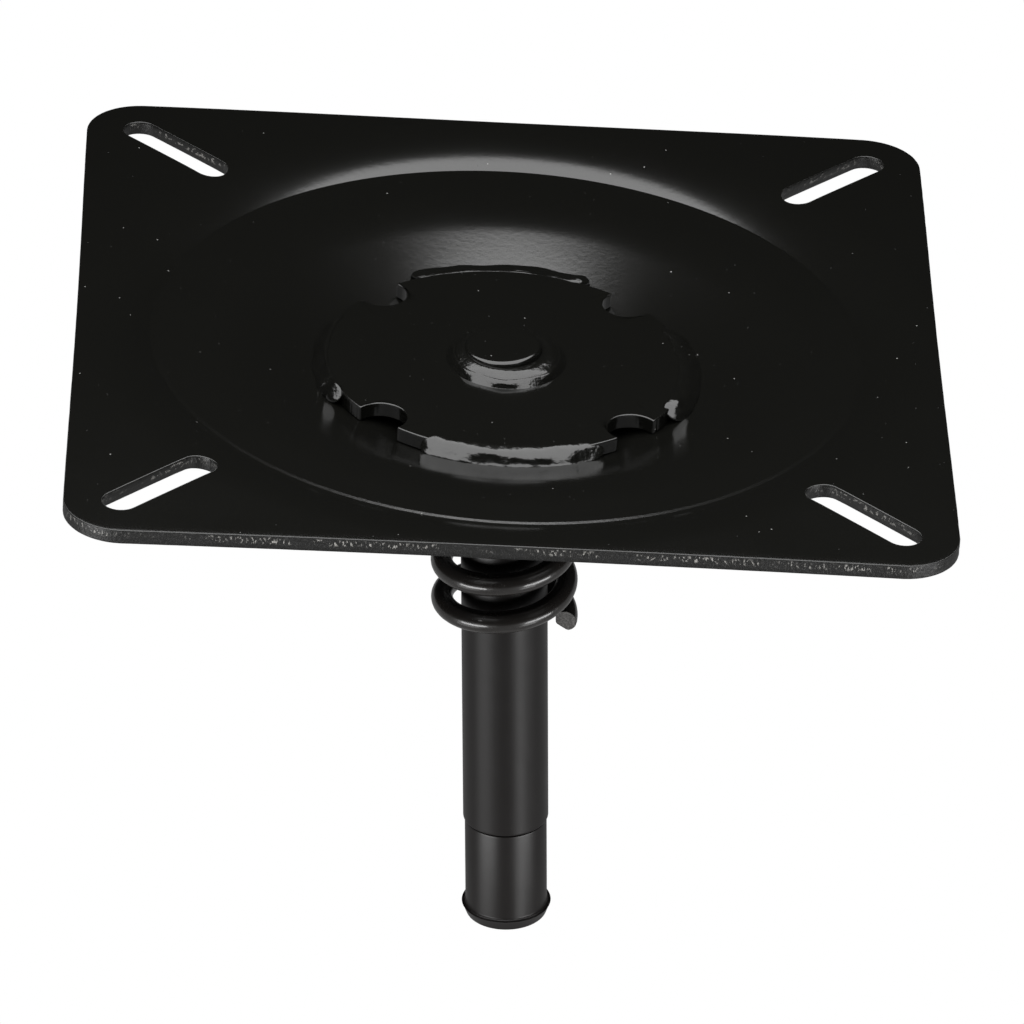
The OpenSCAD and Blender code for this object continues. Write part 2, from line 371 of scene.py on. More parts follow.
class Finish(Nodes):
    """A material with one Principled shader."""

    def __init__(self, name, colour, specular=0.5):
        self.material = bpy.data.materials.new(name)
        self.material.use_nodes = True
        super().__init__(self.material.node_tree, "Principled BSDF")
        self.colour = (*colour[:3], 1.0)
        self.set("Base Color", self.colour)
        self.set("Specular IOR Level", specular)

    def place(self):
        """The piece's own coordinates, in metres."""
        return self.node("ShaderNodeTexCoord", out="Object")

    def attribute(self, name):
        """A number stored on the piece's vertices."""
        return self.node("ShaderNodeAttribute", {"attribute_name": name}, out="Fac")

    def noise(self, scale, detail=2.0, rough=0.5, at=None, stretch=None):
        """Noise from 0 to 1 with that many cells a metre, stretched by a scale on each axis."""
        at = at or self.place()
        if stretch:
            at = self.node("ShaderNodeMapping", None, {"Vector": at, "Scale": stretch})
        return self.node(
            "ShaderNodeTexNoise", None,
            {"Vector": at, "Scale": scale, "Detail": detail, "Roughness": rough})

    def specks(self, scale, radius, part):
        """Round specks: 1 within radius (in cells) of a cell's point, in that part of the cells."""
        inputs = {"Vector": self.place(), "Scale": scale}
        near = self.node("ShaderNodeTexVoronoi", {"feature": "F1"}, inputs, out="Distance")
        pick = self.node("ShaderNodeTexVoronoi", {"feature": "F1"}, inputs, out="Color")
        lot = self.node("ShaderNodeSeparateColor", None, {"Color": pick})
        return near.below(radius, radius * 0.5) * lot.above(1 - part, 0.001)

    def mix(self, mask, first, second):
        """first where mask is 0 and second where it is 1, as colours."""
        def four(colour):
            return colour if isinstance(colour, Wire) else (*colour[:3], 1.0)
        return self.node(
            "ShaderNodeMix", {"data_type": "RGBA"},
            {0: mask, 6: four(first), 7: four(second)}, out=2)

    def bump(self, height, distance, under=None):
        """A bump of that height map, with distance in metres, laid over the bump under it."""
        inputs = {"Height": height, "Distance": distance, "Strength": 1.0}
        if under:
            inputs["Normal"] = under
        return self.node("ShaderNodeBump", None, inputs)


def powder_coat():
    """Semi-gloss black powder coat: fine orange peel, pale specks, and a coat that has worn or
    torn through along the middle of cut edges."""
    tone = settings("finish")
    coat = Finish("powder coat", tone.coat)
    peel = coat.noise(900.0)
    drift = coat.noise(45.0)
    grit = coat.noise(2600.0, 1.0)
    cut = coat.attribute("cut")
    along = coat.attribute("along")
    down = coat.attribute("down")
    specks = coat.specks(420.0, 0.085, 0.07)
    fine = coat.specks(1100.0, 0.11, 0.025)
    wall = coat.node("ShaderNodeCombineXYZ", None, {"X": along, "Y": down, "Z": 0.0})
    streaks = coat.noise(1900.0, 3.0, 0.6, at=wall, stretch=(1.0, 0.5, 1.0))
    tears = coat.noise(150.0, 3.0, 0.65, at=wall, stretch=(1.0, 1.6, 1.0))
    band = down.above(0.0003, 0.0004) * down.below(0.0022, 0.0008)
    bare = (streaks.above(0.54, 0.07) * tears.above(0.44, 0.12)) * cut * band
    pale = coat.mix(specks * 0.5, coat.colour, PALE_SPECK)
    pale = coat.mix(fine * 0.35, pale, FINE_SPECK)
    coat.set("Base Color", coat.mix(bare * 0.7, pale, tone.bare))
    coat.set("Roughness", 0.105 + drift * 0.05 + grit * 0.04 + cut * 0.3)
    skin = coat.bump(peel, 0.00001)
    skin = coat.bump(specks + fine, 0.00004, skin)
    coat.set("Normal", coat.bump((streaks * 0.6 + tears) * cut, 0.0003, skin))
    return coat.material


def weld_coat():
    """The same black over weld metal, with ripples, pits and spatter."""
    coat = Finish("weld coat", settings("finish").weld, specular=0.47)
    lumps = coat.noise(420.0, 3.0, 0.55)
    pits = coat.noise(1500.0)
    specks = coat.specks(700.0, 0.1, 0.12)
    coat.set("Base Color", coat.mix(specks * 0.5, coat.colour, SPATTER))
    coat.set("Roughness", 0.13 + lumps * 0.08)
    skin = coat.bump(lumps, 0.00018)
    coat.set("Normal", coat.bump(pits, 0.00002, skin))
    return coat.material


def polymer():
    """Satin moulded plastic with faint lengthwise draw lines and dust."""
    body = Finish("satin polymer", settings("finish").polymer, specular=0.42)
    cloud = body.noise(160.0)
    lines = body.noise(900.0, 1.0, stretch=(1.0, 1.0, 0.04))
    dust = body.specks(900.0, 0.07, 0.05)
    body.set("Base Color", body.mix(dust * 0.3, body.colour, DUST))
    body.set("Roughness", 0.31 + cloud * 0.1)
    skin = body.bump(lines, 0.00001)
    body.set("Normal", body.bump(cloud, 0.00003, skin))
    return body.material


def enamel():
    """Glossy black enamel on drawn wire, a little uneven, with specks, and bare where it is cut."""
    coat = Finish("spring enamel", settings("finish").enamel, specular=0.55)
    wavy = coat.noise(260.0)
    peel = coat.noise(1400.0, 1.0)
    specks = coat.specks(800.0, 0.09, 0.1)
    cut = coat.attribute("cut")
    grain = coat.noise(2600.0, 2.0, 0.6)
    torn = coat.mix(grain.above(0.35, 0.4), TORN_DARK, TORN_PALE)
    paint = coat.mix(specks * 0.5, coat.colour, SPATTER)
    coat.set("Base Color", coat.mix(cut, paint, torn))
    coat.set("Roughness", 0.22 + wavy * 0.12 + cut * 0.3)
    coat.set("Coat Weight", 0.5 - cut * 0.5)
    skin = coat.bump(wavy, 0.00008)
    coat.set("Normal", coat.bump(peel, 0.00002, skin))
    return coat.material


FINISHES = {
    "plate_coat": powder_coat,
    "weld_coat": weld_coat,
    "polymer": polymer,
    "spring_coat": enamel,
}


@functools.cache
def finish_of(slot):
    """The material of a slot, made the first time it is asked for."""
    return FINISHES[slot]()


def patch(points, around=False, **marks):
    """A patch of surface: points as an array (rows, columns, 3) in millimetres; around joins the
    last column to the first. marks are numbers or arrays stored on its vertices."""
    rows, columns = points.shape[:2]
    index = np.arange(rows * columns).reshape(rows, columns)
    if around:
        index = np.hstack([index, index[:, :1]])
    quads = np.stack([index[:-1, :-1], index[1:, :-1], index[1:, 1:], index[:-1, 1:]], axis=-1)
    stored = {
        key: np.broadcast_to(value, (rows, columns)).ravel() for key, value in marks.items()}
    return points.reshape(-1, 3), quads.reshape(-1, 4), stored


def closed_piece(name, slot, body, patches, node, sharp=None):
    """Joins patches into one closed mesh: equal points are merged, quads that shrink to nothing
    vanish, and the faces are turned outwards. It rides on body and stands for the CAD node."""
    counts = np.cumsum([0] + [len(points) for points, _, _ in patches])
    points = np.concatenate([points for points, _, _ in patches]) * MM
    quads = np.concatenate([quads + start for (_, quads, _), start in zip(patches, counts)])
    mesh = bpy.data.meshes.new(name)
    mesh.from_pydata(points.tolist(), [], quads.tolist())
    for key in ("cut", "along", "down"):
        if any(key in stored for _, _, stored in patches):
            values = np.concatenate(
                [stored.get(key, np.zeros(len(own))) for own, _, stored in patches])
            layer = mesh.attributes.new(key, "FLOAT", "POINT")
            layer.data.foreach_set("value", values.astype(np.float32))
    shape = bmesh.new()
    shape.from_mesh(mesh)
    bmesh.ops.remove_doubles(shape, verts=shape.verts, dist=3e-6)
    bmesh.ops.dissolve_degenerate(shape, edges=shape.edges, dist=1e-7)
    bmesh.ops.recalc_face_normals(shape, faces=shape.faces)
    if shape.calc_volume(signed=True) < 0:
        bmesh.ops.reverse_faces(shape, faces=shape.faces)
    loose = sum(1 for edge in shape.edges if len(edge.link_faces) != 2)
    if loose:
        print(f"{name}: {loose} edges aren't closed")
    shape.to_mesh(mesh)
    shape.free()
    mesh.shade_smooth()
    if sharp:
        mesh.set_sharp_from_angle(angle=np.radians(sharp))
    piece = bpy.data.objects.new(name, mesh)
    bpy.context.scene.collection.objects.link(piece)
    mesh.materials.append(finish_of(slot))
    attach(piece, body)
    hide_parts(node)


def raised(plan, height):
    """Points (x, y, z) from points in plan and their height, a number or an array."""
    height = np.broadcast_to(height, plan.shape[:-1])
    return np.concatenate([plan, height[..., None]], axis=-1)


def leaned(points):
    """Turns points given square to the plate by its lean about +Y, and lifts them to the floor."""
    plate = settings("plate")
    angle = np.radians(plate.lean)
    u, v, w = points[..., 0], points[..., 1], points[..., 2]
    return np.stack([
        u * np.cos(angle) + w * np.sin(angle), v,
        w * np.cos(angle) - u * np.sin(angle) + plate.floor_z], axis=-1)


def ripple(a, b, seed):
    """Smooth waves from -1 to 1 over two coordinates: the mean of eight sines whose directions,
    lengths and phases come from the seed."""
    lots = np.random.default_rng(seed)
    angle, length, phase = lots.uniform(0, 2 * np.pi, (3, 8))
    pitch = 0.6 + length / np.pi
    waves = [
        np.sin(a * p * np.cos(t) + b * p * np.sin(t) + f) for t, p, f in zip(angle, pitch, phase)]
    return np.mean(waves, axis=0) * 1.9


def arc(centre_r, centre_z, radius, start, end, steps):
    """Points (radius, height) of an arc about a centre, angles in degrees."""
    t = np.radians(np.linspace(start, end, steps))
    return np.stack([centre_r + radius * np.cos(t), centre_z + radius * np.sin(t)], axis=-1)


def run_of(line):
    """The length run along a line of points, from 0 at its first."""
    steps = np.linalg.norm(np.diff(line, axis=0), axis=1)
    return np.concatenate([[0], np.cumsum(steps)])


class Dish:
    """The section of the pressed dish: heights of the top face and of the underside over radius,
    as arcs and straight lines that meet without a kink, but for the coined lip."""

    def __init__(self):
        dish, plate = settings("dish"), settings("plate")
        bend = 2 * np.degrees(np.arctan(dish.crease_depth / (dish.rim - dish.crease)))
        bend_r = (dish.rim - dish.crease) / np.sin(np.radians(bend))
        lip_depth = dish.crease_depth - dish.lip_height
        shelf_r = dish.crease - dish.lip_width
        slope, fall = np.radians(dish.shelf_slope), np.radians(dish.funnel_angle)
        funnel_depth = lip_depth + (shelf_r - dish.funnel) * np.tan(slope)
        wall_r = dish.funnel - dish.funnel_bend * (np.sin(fall) - np.sin(slope))
        wall_depth = funnel_depth + dish.funnel_bend * (np.cos(slope) - np.cos(fall))
        foot_r = dish.floor + dish.floor_bend * np.sin(fall)
        foot_depth = wall_depth + (wall_r - foot_r) * np.tan(fall)
        self.depth = foot_depth + dish.floor_bend * (1 - np.cos(fall))
        self.wall_r, self.wall_depth, self.fall = wall_r, wall_depth, fall

        def line(off):
            """The section from the middle out, moved down square to itself by off."""
            rim = arc(dish.rim, -bend_r, bend_r - off, 90 + bend, 90, 24)
            funnel = arc(
                dish.funnel + dish.funnel_bend * np.sin(slope),
                -funnel_depth - dish.funnel_bend * np.cos(slope),
                dish.funnel_bend - off, 90 + dish.funnel_angle, 90 + dish.shelf_slope, 20)
            floor = arc(
                dish.floor, -self.depth + dish.floor_bend, dish.floor_bend + off,
                -90, -90 + dish.funnel_angle, 12)
            turn = off * np.tan(np.radians(bend / 2))
            shelf = [[shelf_r - turn, -lip_depth - off]]
            return np.concatenate([[[0, -self.depth - off]], floor, funnel, shelf, rim])

        self.top_line = line(0.0)
        self.under_line = line(plate.sheet)
        self.top = self.depth + plate.sheet

    def top_at(self, r):
        """Height of the top face over the floor's underside at radius r, square to the plate."""
        return self.top + np.interp(r, self.top_line[:, 0], self.top_line[:, 1])

    def under_at(self, r):
        """Height of the underside at radius r."""
        return self.top + np.interp(r, self.under_line[:, 0], self.under_line[:, 1])

    def wall_at(self, r):
        """Height of the funnel's straight wall at radius r."""
        return self.top - self.wall_depth - (self.wall_r - r) * np.tan(self.fall)


def sag(u, v):
    """How far the flat border sags towards a corner: the corner drop by the square of the way
    out."""
    out = np.clip((np.hypot(u, v) - SAG_START) / SAG_WAY, 0, 1)
    return settings("plate").corner_drop * out ** 2


def outline(turn):
    """Points of the plate's outline at angles turn (radians) from a side's middle, for one side:
    a straight side drawn in by a bell curve at its middle, and the near half of each corner arc."""
    plate = settings("plate")
    half, corner = plate.width / 2, plate.corner
    flat = half - corner
    along = half * np.tan(turn)
    bell = np.clip(1 - (along / flat) ** 2, 0, 1) ** 2
    side = np.stack([half - plate.drawn_in * bell, along], axis=-1)
    ray = np.stack([np.cos(turn), np.abs(np.sin(turn))], axis=-1)
    reach = flat * ray.sum(axis=-1)
    out = reach + np.sqrt(np.maximum(corner ** 2 - 2 * flat ** 2 + reach ** 2, 0))
    round_ = np.stack([out * np.cos(turn), out * np.sin(turn)], axis=-1)
    return np.where((np.abs(along) > flat)[:, None], round_, side)


def outline_normal(turn):
    """Outward normals of the outline, from the line's own direction at a small step each way."""
    step = 1e-4
    ahead = outline(np.clip(turn + step, -np.pi / 4, np.pi / 4))
    back = outline(np.clip(turn - step, -np.pi / 4, np.pi / 4))
    run = ahead - back
    normal = np.stack([run[:, 1], -run[:, 0]], axis=-1)
    ends = np.abs(np.abs(turn) - np.pi / 4) < 1e-9
    corner = np.stack([np.cos(turn), np.sin(turn)], axis=-1)
    normal = normal / np.linalg.norm(normal, axis=-1, keepdims=True)
    return np.where(ends[:, None], corner, normal)


def rounded_wall(depth, radius, steps=5, middle=9):
    """Offsets (inwards, down) of a wall from its top edge round to its bottom edge: a quarter
    turn, the flat wall, and a quarter turn."""
    t = np.linspace(0, np.pi / 2, steps)
    top = np.stack([radius * (1 - np.sin(t)), radius * (1 - np.cos(t))], axis=-1)
    flat = np.linspace(radius, depth - radius, middle + 2)[1:-1]
    wall = np.stack([np.zeros(middle), flat], axis=-1)
    foot = np.stack([top[::-1, 0], depth - top[::-1, 1]], axis=-1)
    return np.concatenate([top, wall, foot])


def turned(points, quarter):
    """Turns points (u, v, ...) by quarter turns about the plate's centre."""
    c, s = [(1, 0), (0, 1), (-1, 0), (0, -1)][quarter]
    out = points.copy()
    out[..., 0] = c * points[..., 0] - s * points[..., 1]
    out[..., 1] = s * points[..., 0] + c * points[..., 1]
    return out


def slot_stations(inner, outer, width, first, last):
    """Radii along a diagonal, and the half-width of the slot there: before the slot, round its
    inner end, along it, round its outer end, and on to the corner."""
    t = np.linspace(0, np.pi / 2, 9)
    half = width / 2
    straight = np.linspace(inner + half, outer - half, 9)[1:-1]
    before = np.linspace(first, inner, 9)[:-1]
    after = np.append(np.linspace(outer, last - 0.25, 6)[1:], last)
    radii = np.concatenate([
        before, inner + half * (1 - np.cos(t)), straight, outer - half * (1 - np.sin(t)), after])
    open_ = np.concatenate([
        np.zeros(len(before)), half * np.sin(t), np.full(len(straight), half), half * np.cos(t),
        np.zeros(len(after))])
    return radii, open_


def seat_plate():
    """The pressed plate. Border: for each side, a grid of angle by way out, whose diagonals part
    round the slots. Dish: a grid of angle by radius. Walls: an offset profile carried along each
    outline."""
    plate, dish, pin = settings("plate"), settings("dish"), settings("pin")
    section = Dish()
    edge = plate.edge_round
    turn = np.pi / 4 * np.sin(np.pi / 2 * np.linspace(-1, 1, 97))
    base, normal = outline(turn), outline_normal(turn)
    rim = base - edge * normal
    half_length = plate.slot_length / 2
    centre = plate.slot_centre * np.sqrt(2)
    diagonal = np.hypot(*rim[-1])
    ray = np.stack([np.cos(turn), np.sin(turn)], axis=-1)

    def border(room):
        """Plan of one side's border, parted round the slots with room beyond their walls."""
        radii, open_ = slot_stations(
            centre - half_length - room, centre + half_length + room,
            plate.slot_width + 2 * room, JOIN, diagonal)
        way = ((radii - JOIN) / (diagonal - JOIN))[:, None, None]
        flat = JOIN * ray[None] * (1 - way) + rim[None] * way
        apart = np.hypot(flat[..., 0], flat[..., 1]) * np.sin(np.pi / 4 - np.abs(turn))
        push = open_[:, None] * np.clip(1 - apart / PARTING, 0, 1) ** 2
        run = np.diff(flat, axis=1)
        run = np.concatenate([run[:, :1], run], axis=1) + np.concatenate([run, run[:, -1:]], axis=1)
        away = -np.sign(turn)[:, None] * run / np.linalg.norm(run, axis=-1, keepdims=True)
        away[:, [0, -1]] = np.sqrt(0.5) * np.array([[1, 1], [1, -1]])
        return flat + push[..., None] * away

    def droop(plan):
        """How far the die roll lowers the top face there, growing as a square towards the edge."""
        inward = np.sum((rim[None] - plan) * normal[None], axis=-1)
        return plate.roll * np.clip(1 - inward / plate.roll_width, 0, 1) ** 2

    def sagged(height_at, plan):
        """Height of a face of the sheet there, less the sag of the corners."""
        return height_at(np.hypot(plan[..., 0], plan[..., 1])) - sag(plan[..., 0], plan[..., 1])

    upper, lower = border(edge), border(edge + plate.slot_flare)
    top_face = raised(upper, sagged(section.top_at, upper) - droop(upper))
    underside = raised(lower, sagged(section.under_at, lower))
    wall = rounded_wall(plate.sheet, edge)
    inwards, down = wall[:, :1], wall[:, 1:]
    high = (section.top - sag(rim[..., 0], rim[..., 1]))[None] - down
    high = high - plate.roll * (1 - down / plate.sheet)
    run = run_of(base)
    row = np.linspace(0, 1, len(wall))[:, None]
    patches = []
    for side in range(4):
        patches.append(patch(leaned(turned(top_face, side))))
        patches.append(patch(leaned(turned(underside, side))))
        rough = TEAR_DEPTH * ripple(run[None] * 1.3 + 40 * side, down * 2.0, 7)
        rough = rough * np.sin(np.pi * row) ** 0.5
        plan = base[None] - normal[None] * inwards[..., None]
        plan = plan - normal[None] * np.abs(rough)[..., None]
        patches.append(patch(
            leaned(turned(raised(plan, high), side)), cut=np.sin(np.pi * row) ** 0.4,
            along=(run[None] + SIDE_SHIFT * side) * MM, down=down * MM))

    t = np.linspace(0, np.pi / 2, 9)
    half = plate.slot_width / 2 + edge
    near, far = centre - half_length - edge + half, centre + half_length + edge - half
    straight = np.linspace(near, far, 9)[1:-1]
    bearing = np.concatenate([np.pi - t, np.full(len(straight), np.pi / 2), t[::-1]])
    middle = np.concatenate([np.full(9, near), straight, np.full(9, far)])
    loop_bearing = np.concatenate([bearing, -bearing[-2:0:-1]])
    loop_middle = np.concatenate([middle, middle[-2:0:-1]])
    depth = down / plate.sheet
    flare = plate.slot_flare * np.clip((depth - 0.3) / 0.7, 0, 1)

    def loop(reach):
        """Plan of the slot's outline, pushed out from its middle line by reach."""
        a = loop_middle + np.cos(loop_bearing) * reach
        b = np.sin(loop_bearing) * reach
        return np.stack([a - b, a + b], axis=-1) * np.sqrt(0.5)

    high = sagged(section.top_at, loop(half))
    low = sagged(section.under_at, loop(half + plate.slot_flare))
    height = high[None] * (1 - depth) + low[None] * depth
    length = np.linspace(0, SLOT_RUN, len(loop_bearing))
    for side in range(4):
        torn = TEAR_DEPTH * ripple(length[None] * 1.5 + 70 * side, down * 2.0, 19)
        torn = np.abs(torn) * np.sin(np.pi * depth) ** 0.7
        plan = loop(half - edge + inwards + flare + torn)
        patches.append(patch(
            leaned(turned(raised(plan, height), side)), around=True,
            cut=0.6 * np.sin(np.pi * row) ** 0.4,
            along=(length[None] + SLOT_SHIFT + SIDE_SHIFT * side) * MM, down=down * MM))

    all_turn = np.concatenate([turn[:-1] + side * np.pi / 2 for side in range(4)])
    around = np.stack([np.cos(all_turn), np.sin(all_turn)], axis=-1)

    def rings(radii, height_at):
        """Rings of the dish at those radii, from outside in."""
        return leaned(raised(around[None] * radii[:, None, None], height_at(radii)[:, None]))

    lip = dish.crease - dish.lip_width
    top_rings = rings(np.concatenate([
        np.linspace(JOIN, dish.crease + 0.35, 15),
        dish.crease + np.array([0.2, 0.08, 0, -0.08, -0.2]),
        [dish.crease - dish.lip_width * 0.5, lip + 0.15, lip, lip - 0.2],
        np.linspace(72.0, 66.0, 5), np.linspace(65.0, 51.8, 14), np.linspace(50.5, 30.5, 16),
        np.linspace(29.5, 23.0, 7)]), section.top_at)
    under_rings = rings(np.concatenate([
        np.linspace(JOIN, 71.8, 12), [71.6, 71.4, 70.0, 68.0], np.linspace(66.0, 52.5, 12),
        np.linspace(50.0, 31.5, 9), np.linspace(30.5, 23.0, 6), [19.0, 15.0]]), section.under_at)
    lean = np.tan(np.radians(plate.lean))

    def upright(radius, height, follow):
        """A ring about the pin, level where follow is 0 and along the plate where it is 1."""
        x, y = around[:, 0] * radius, around[:, 1] * radius
        return np.stack([x, y, height - x * lean * follow], axis=-1)

    bore = pin.pin
    floor_top = plate.floor_z + plate.sheet / np.cos(np.radians(plate.lean))
    foot, collar = dish.collar_gap, dish.collar
    neck = [
        upright(bore, floor_top, 1), upright(bore, foot + 0.3, 0), upright(bore + 0.3, foot, 0),
        upright(collar - 0.5, foot, 0), upright(collar - 0.15, foot + 0.15, 0),
        upright(collar, foot + 0.5, 0), upright(collar, plate.floor_z - 1.0, 0.8),
        upright(collar + 0.15, plate.floor_z - 0.4, 1),
        upright(collar + 0.8, plate.floor_z - 0.06, 1)]
    inner = np.stack([top_rings[-1]] + neck + [under_rings[-1]])
    patches += [patch(rows, around=True) for rows in (top_rings, under_rings, inner)]
    closed_piece("pressed_plate", "plate_coat", TOP, patches, "seat_plate")


def bitten_outline():
    """The hub disc's outline as a closed line: four outer arcs and four round bites, with evenly
    spaced points whose corners are softened by a short running mean."""
    hub = settings("hub")
    r, c, b = hub.radius, hub.bite_centre, hub.bite
    corner = np.arccos((r * r + c * c - b * b) / (2 * r * c))
    start = np.arctan2(r * np.sin(corner), r * np.cos(corner) - c)
    swing = np.linspace(-start, -2 * np.pi + start, 60)
    bite = np.stack([c + b * np.cos(swing), b * np.sin(swing)], axis=-1)
    outer_angle = np.linspace(corner, np.pi / 2 - corner, 90)[1:-1]
    outer = np.stack([r * np.cos(outer_angle), r * np.sin(outer_angle)], axis=-1)
    x, y = np.concatenate([bite, outer]).T
    eighth = np.sqrt(0.5)
    quarter = np.stack([(x - y) * eighth, (x + y) * eighth], axis=-1)
    loop = np.concatenate([turned(quarter, side) for side in range(4)])
    closed = np.concatenate([loop, loop[:1]])
    run = run_of(closed)
    even = np.linspace(0, run[-1], 1200, endpoint=False)
    line = np.stack([np.interp(even, run, closed[:, axis]) for axis in (0, 1)], axis=-1)
    for _ in range(6):
        line = (np.roll(line, 1, axis=0) + 2 * line + np.roll(line, -1, axis=0)) / 4
    return line


def line_normals(line):
    """Outward normals of a closed line that runs anticlockwise."""
    run = np.roll(line, -1, axis=0) - np.roll(line, 1, axis=0)
    normal = np.stack([run[:, 1], -run[:, 0]], axis=-1)
    return normal / np.linalg.norm(normal, axis=-1, keepdims=True)


def hub_top():
    """Height of the disc's top face: its lower edge stands on the funnel's wall."""
    hub = settings("hub")
    return Dish().wall_at(hub.radius) + hub.thickness


def hub_disc():
    """The bitten disc: rings that run from its middle over two circles to the outline, a rounded
    wall that is slightly uneven, and the same circles below."""
    hub = settings("hub")
    line = bitten_outline()
    normal = line_normals(line)
    wall = rounded_wall(hub.thickness, hub.edge_round, steps=6, middle=3)
    top = hub_top()
    foot = top - hub.thickness
    angle = np.linspace(0, 2 * np.pi, len(line), endpoint=False)
    angle = angle + np.arctan2(line[0, 1], line[0, 0])
    circle = np.stack([np.cos(angle), np.sin(angle)], axis=-1)
    inner, outer = 5.0, 29.5
    run = np.arange(len(line)) * 0.22
    soft = 0.04 * ripple(run, run * 0, 3) + 0.03 * ripple(run * 3.0, run * 0, 31)
    rows = [raised(circle * radius, top) for radius in (0, inner, outer)]
    rows.append(raised(line - normal * (hub.edge_round + 0.12), top))
    rows += [raised(line - normal * (inwards + soft * min(down, 1))[:, None], top - down)
             for inwards, down in wall]
    rows += [raised(circle * radius, foot) for radius in (outer, inner, 0)]
    rows = leaned(np.stack(rows))
    closed_piece("bitten_disc", "plate_coat", TOP, [patch(rows, around=True)], "hub_disc")


def bump_field(angle, across, lumps):
    """The sum of round lumps (angle in degrees, across from 0 to 1, width in degrees, width
    across, height in millimetres), each a bell curve."""
    total = 0 * angle * across
    for a, s, wide, deep, high in lumps:
        total = total + high * np.exp(-((angle - a) / wide) ** 2 - ((across - s) / deep) ** 2)
    return total


def smooth_line(controls, steps):
    """The uniform cubic B-spline of a list of control arrays, held at both ends, at evenly spaced
    steps."""
    c = np.stack(np.broadcast_arrays(*controls)).reshape(len(controls), -1)
    c = np.concatenate([c[:1], c[:1], c, c[-1:], c[-1:]])
    u = np.linspace(0, len(c) - 3, steps)
    i = np.minimum(u.astype(int), len(c) - 4)
    f = (u - i)[:, None]
    weights = (
        (1 - f) ** 3, 3 * f ** 3 - 6 * f ** 2 + 4, -3 * f ** 3 + 3 * f ** 2 + 3 * f + 1, f ** 3)
    return sum(w * c[i + k] for k, w in enumerate(weights)) / 6


def edge_bead(name, node, middle, span, lap, toe, shoulder, seed, lumps,
              ragged=0.35, streak=0.06, tail=END_TAPER):
    """A bead along the disc's edge, from span degrees before its middle to span after. Its section
    is a spline from the disc's top, lap inside the edge, over a shoulder that stands proud of it,
    down a facet to a toe on the funnel's wall, that far outside the edge; underneath, a second
    spline closes it. Toes wander by ragged, streaks and lumps ride on the facet, and both ends
    taper, the later one by tail."""
    section, r, top = Dish(), settings("hub").radius, hub_top()
    degrees = np.linspace(-span, span, 361)[None]
    s = np.linspace(0, 1, 45)[:, None]
    zero = 0 * degrees
    lap = r - lap + ragged * 0.5 * ripple(degrees * 0.3, zero, seed)
    toe = r + toe + ragged * ripple(degrees * 0.26, zero + 5, seed + 1)
    low = section.wall_at(toe) - 0.1
    taper = np.where(degrees < 0, END_TAPER, tail)
    end = np.clip((np.abs(degrees) - span + taper) / taper, 0, 1)
    end = np.sqrt(np.clip(1 - end ** 2, 0, 1))
    facet = 0.1 * ripple(degrees * 0.5, zero, seed + 2)
    facet = facet * min(1.0, shoulder * 3)
    brow = r + 0.05 + facet, top + 0.3 * shoulder + facet
    foot = toe - 0.3, low + 0.42
    half = [(a + b) / 2 + 0.05 for a, b in zip(brow, foot)]
    radii = smooth_line([lap, lap + 0.15, lap + 0.7, brow[0], half[0], foot[0], toe], len(s))
    heights = smooth_line(
        [top - 0.1 + zero, top + 0.6 * shoulder, top + shoulder, brow[1], half[1], foot[1], low],
        len(s))
    under_r = smooth_line([toe, r + 0.9, r - 0.3, lap], 9)[1:-1]
    under_z = smooth_line([low, low + 0.3, top - 1.2 + zero, top - 0.1 + zero], 9)[1:-1]
    wave = streak * ripple(degrees * 0.35, s * 16 + degrees * 0.12, seed + 3)
    wave = wave + streak * 0.6 * ripple(degrees * 1.5, s * 9, seed + 4)
    proud = (wave + bump_field(degrees, s, lumps)) * np.sin(np.pi * s) ** 0.6
    radii, heights = radii + proud * 0.7, heights + proud * 0.7
    middle_r, middle_z = (lap + toe) / 2, (top + low) / 2 - 0.3
    r_all = middle_r + (np.concatenate([radii, under_r]) - middle_r) * end
    z_all = middle_z + (np.concatenate([heights, under_z]) - middle_z) * end
    angle = np.radians(middle + degrees)
    points = np.stack([r_all * np.cos(angle), r_all * np.sin(angle), z_all], axis=-1)
    points = leaned(points.transpose(1, 0, 2))
    closed_piece(name, "weld_coat", TOP, [patch(points, around=True)], node)


def edge_beads():
    """The four beads that join the disc to the funnel. Angles grow anticlockwise from +X; a lump
    is (angle from the middle, place across, width in degrees, width across, height)."""
    edge_bead(
        "rear_bead", "rear_weld", middle=91.0, span=27.5, lap=0.4, toe=5.2, shoulder=0.04,
        seed=11, ragged=0.4, streak=0.035,
        lumps=[(-25, 0.5, 2.6, 0.5, 0.7), (-6, 0.45, 5, 0.25, 0.2), (12, 0.5, 6, 0.3, 0.2)])
    edge_bead(
        "front_bead", "front_weld", middle=271.8, span=29.5, lap=1.9, toe=2.2, shoulder=0.44,
        seed=23, ragged=0.15, streak=0.045, tail=9.0,
        lumps=[(-22, 0.5, 5, 0.5, 0.08), (-8, 0.56, 8, 0.09, 0.28), (5, 0.62, 8, 0.08, 0.24)])
    edge_bead(
        "left_bead", "left_weld", middle=180.0, span=27.0, lap=0.9, toe=2.6, shoulder=0.3,
        seed=37,
        lumps=[(23, 0.45, 3.4, 0.45, 1.1), (16, 0.75, 2.5, 0.3, 0.3), (-20, 0.5, 4, 0.4, 0.3)])
    edge_bead(
        "right_bead", "right_weld", middle=-1.0, span=28.0, lap=2.0, toe=3.2, shoulder=0.3,
        seed=41,
        lumps=[(-22, 0.3, 4.5, 0.5, 1.2), (-14, 0.6, 2.5, 0.3, 0.3), (21, 0.5, 3, 0.4, 0.4)])


